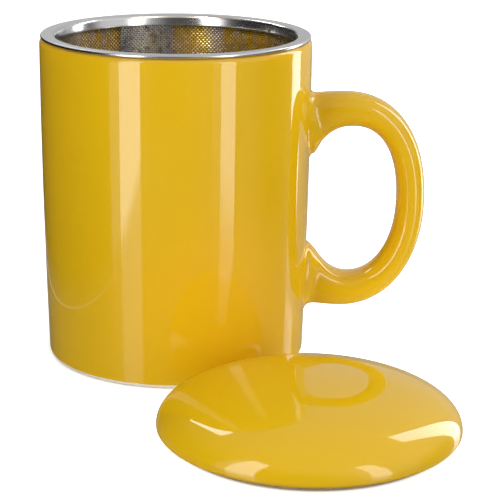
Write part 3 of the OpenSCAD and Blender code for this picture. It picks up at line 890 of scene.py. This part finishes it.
# The light that it throws back on the cup, and the distances over which that fades
TABLE_LIFT, LIFT_START, LIFT_END = 0.5, 60, 120
# Where the painted contact shadow in the gap under the lid's rim ends, and the one in the gap round the foot,
# each from its own middle
LID_GAP, FOOT_GAP = (LID_R - 4.4, LID_R - 3.4), (46, 50)
# The board that the glaze mirrors: its colour, its left and right sides, the width of the glowing line at its
# left side (a painted line of light), the slope of its sides, and how far each side's soft end reaches
BOARD_PAINT = "8C8C8C"
BOARD_LEFT, BOARD_RIGHT, BOARD_EDGE, BOARD_SLANT = -86.5, 92.0, 1.2, 0.145
LEFT_FADE, RIGHT_FADE = 38.0, 158.0


def pale_table():
    """A sheet of white board under the object. The camera sees it white except where the object shades it and
    where ambient occlusion dims its glow, a painted contact shadow. The glaze mirrors a smaller grey board
    whose left side glows, a painted line of light, and the room beyond it."""
    material, tree, place = new_material("white_board")
    light = add(tree, "ShaderNodeLightPath").outputs
    split = add(tree, "ShaderNodeSeparateXYZ", [place]).outputs
    radius = add(tree, "ShaderNodeVectorMath", [place], operation="LENGTH")
    seen = add(tree, "ShaderNodeMath", [light["Is Camera Ray"], light["Is Transmission Ray"]],
               operation="MAXIMUM")
    # It glows full white far off, and less near the object, so that the object's shadow shows
    fade = add(tree, "ShaderNodeMapRange", [radius, GLOW_START * MM, GLOW_END * MM, TABLE_GLOW, 1.0],
               interpolation_type="SMOOTHSTEP")
    # Painted contact shadow: ambient occlusion dims the glow in the narrow gap round the foot and in the deep
    # part of the gap under the lid's rim
    gap = add(tree, "ShaderNodeAmbientOcclusion", {"Distance": 6 * MM}, samples=8).outputs["AO"]
    off_lid = add(tree, "ShaderNodeVectorMath", [place, (LID_PLACE[0] * MM, LID_PLACE[1] * MM, 0)],
                  operation="DISTANCE")
    lid_gap = add(tree, "ShaderNodeMapRange", [off_lid, *(r * MM for r in LID_GAP), gap, 1.0])
    gaps = add(tree, "ShaderNodeMapRange", [radius, *(r * MM for r in FOOT_GAP), gap, lid_gap])
    glow = add(tree, "ShaderNodeMath", [seen, fade], operation="MULTIPLY")
    glow = add(tree, "ShaderNodeMath", [glow, gaps], operation="MULTIPLY")
    # Near the cup, and more towards its handle, the board throws light back on the cup's lower part
    lift = add(tree, "ShaderNodeMapRange", [radius, LIFT_START * MM, LIFT_END * MM, TABLE_LIFT, 0.0])
    lift = add(tree, "ShaderNodeMapRange", [split["X"], -80 * MM, 60 * MM, 0.0, lift])
    lift = add(tree, "ShaderNodeMath", [lift, light["Is Diffuse Ray"]], operation="MULTIPLY")
    white = add(tree, "ShaderNodeBsdfPrincipled", {
        "Base Color": add(tree, "ShaderNodeMix", [seen, paint(TABLE_PAINT), (1, 1, 1, 1)], data_type="RGBA"),
        "Roughness": 1.0,
        "Specular IOR Level": 0.0,
        "Emission Color": (1, 1, 1, 1),
        "Emission Strength": add(tree, "ShaderNodeMath", [glow, lift], operation="ADD"),
    })

    across = add(tree, "ShaderNodeMath", [split["Y"], -BOARD_SLANT, split["X"]], operation="MULTIPLY_ADD")
    left = add(tree, "ShaderNodeMapRange",
               [across, BOARD_LEFT * MM, (BOARD_LEFT - LEFT_FADE) * MM, 0.0, 1.0],
               interpolation_type="SMOOTHSTEP")
    right = add(tree, "ShaderNodeMapRange",
                [across, BOARD_RIGHT * MM, (BOARD_RIGHT + RIGHT_FADE) * MM, 0.0, 1.0],
                interpolation_type="SMOOTHSTEP")
    beyond = add(tree, "ShaderNodeMath", [left, right], operation="ADD")
    # A thin glowing line along the board's left side: painted light, which the glaze mirrors
    edge = add(tree, "ShaderNodeMath",
               [across, (BOARD_LEFT + BOARD_EDGE / 2) * MM, BOARD_EDGE / 2 * MM], operation="COMPARE")
    # Behind the handle the board's gloss is worn
    behind = add(tree, "ShaderNodeMapRange", [split["Y"], 0.0, 15 * MM, 0.0, 1.0])
    handle_side = add(tree, "ShaderNodeMath", [split["X"], 0.0], operation="GREATER_THAN")
    worn = add(tree, "ShaderNodeMath", [behind, handle_side], operation="MULTIPLY")
    grey = add(tree, "ShaderNodeBsdfPrincipled", {
        "Base Color": paint(BOARD_PAINT),
        "Roughness": add(tree, "ShaderNodeMapRange", [worn, 0.0, 1.0, 0.12, 0.5]),
        "IOR": 2.0,
        "Emission Color": (1, 1, 1, 1),
        "Emission Strength": edge,
    })
    mirrored = add(tree, "ShaderNodeMixShader", [beyond, grey, add(tree, "ShaderNodeBsdfTransparent")])
    both = add(tree, "ShaderNodeMixShader", [light["Is Glossy Ray"], white, mirrored])
    add(tree, "ShaderNodeOutputMaterial", {"Surface": both})
    return material


sheet = bmesh.new()
bmesh.ops.create_grid(sheet, x_segments=1, y_segments=1, size=1.5)
table_mesh = bpy.data.meshes.new("white_board")
sheet.to_mesh(table_mesh)
sheet.free()
table_mesh.materials.append(pale_table())
table = put("white_board", table_mesh)

# Shades of the walls by bearing, seen below the table's height and above it
WALLS_BELOW = ((-180, 0.62), (-174, 0.5), (-164, 0.03), (-62, 0.03), (-50, 0.35), (50, 0.4), (62, 0.4),
               (74, 0.22), (86, 0.05), (104, 0.15), (111, 0.3), (122, 0.75), (140, 0.55), (180, 0.5))
WALLS_ABOVE = ((-180, 0.62), (-168, 0.6), (-158, 0.03), (-62, 0.03), (-50, 0.12), (-28, 0.08), (8, 0.08),
               (20, 0.4), (50, 0.7), (56, 0.85), (78, 0.85), (90, 0.18), (118, 0.18), (126, 0.64), (180, 0.6))


def studio_room():
    """The walls and the ceiling round the object, which the camera sees as plain white."""
    world = bpy.data.worlds.new("studio_room")
    world.use_nodes = True
    bpy.context.scene.world = world
    tree = world.node_tree
    tree.nodes.clear()
    direction = add(tree, "ShaderNodeTexCoord").outputs["Generated"]
    split = add(tree, "ShaderNodeSeparateXYZ", [direction]).outputs
    front = add(tree, "ShaderNodeMath", [split["Y"], -1.0], operation="MULTIPLY")
    bearing = add(tree, "ShaderNodeMath", [split["X"], front], operation="ARCTAN2")
    share = add(tree, "ShaderNodeMapRange", [bearing, -math.pi, math.pi, 0.0, 1.0])
    walls = []
    for shades in (WALLS_BELOW, WALLS_ABOVE):
        walls.append(add(tree, "ShaderNodeValToRGB", [share]))
        ramp = walls[-1].color_ramp
        while len(ramp.elements) < len(shades):
            ramp.elements.new(0.5)
        for element, (angle, shade) in zip(ramp.elements, shades):
            element.position = (angle + 180) / 360
            element.color = (shade, shade, shade, 1)
    level = add(tree, "ShaderNodeMapRange", [split["Z"], -0.02, 0.02, 0.0, 1.0])
    room = add(tree, "ShaderNodeMix", [level, *walls], data_type="RGBA")
    # The ceiling is grey, lighter and beginning lower on the right than on the left
    lift = add(tree, "ShaderNodeMath", [split["X"], 0.2, split["Z"]], operation="MULTIPLY_ADD")
    overhead = add(tree, "ShaderNodeMapRange", [lift, 0.35, 0.75, 0.0, 1.0])
    ceiling = add(tree, "ShaderNodeMapRange", [split["X"], -0.9, 0.9, 0.2, 1.0])
    room = add(tree, "ShaderNodeMix", [overhead, room, ceiling], data_type="RGBA")
    camera_ray = add(tree, "ShaderNodeLightPath").outputs["Is Camera Ray"]
    seen = add(tree, "ShaderNodeMix", [camera_ray, room, (1, 1, 1, 1)], data_type="RGBA")
    background = add(tree, "ShaderNodeBackground", {"Color": seen, "Strength": 1.0})
    add(tree, "ShaderNodeOutputWorld", {"Surface": background})


studio_room()

# ---------------- camera
# Its place in millimetres, its turns in radians, and its lens on a sensor 36 mm wide
CAMERA_PLACE = (0, -508.12, 180.11)
CAMERA_YAW, CAMERA_PITCH, CAMERA_ROLL = 0.04534, 0.28453, 0.01241
CAMERA_LENS = 122.03

ahead = Vector((math.sin(CAMERA_YAW) * math.cos(CAMERA_PITCH), math.cos(CAMERA_YAW) * math.cos(CAMERA_PITCH),
                -math.sin(CAMERA_PITCH)))
level = ahead.cross(Vector((0, 0, 1))).normalized()
above = level.cross(ahead)
c, s = math.cos(CAMERA_ROLL), math.sin(CAMERA_ROLL)
right, up = level * c + above * s, above * c - level * s
camera_data = bpy.data.cameras.new("camera")
camera_data.sensor_width = 36
camera_data.lens = CAMERA_LENS
camera_data.clip_start, camera_data.clip_end = 0.01, 20
camera = put("camera", camera_data)
turn = Matrix((right, up, -ahead)).transposed().to_4x4()
camera.matrix_world = Matrix.Translation(Vector(CAMERA_PLACE) * MM) @ turn
bpy.context.scene.camera = camera
bpy.context.scene.view_settings.view_transform = "Standard"

bpy.context.view_layer.update()
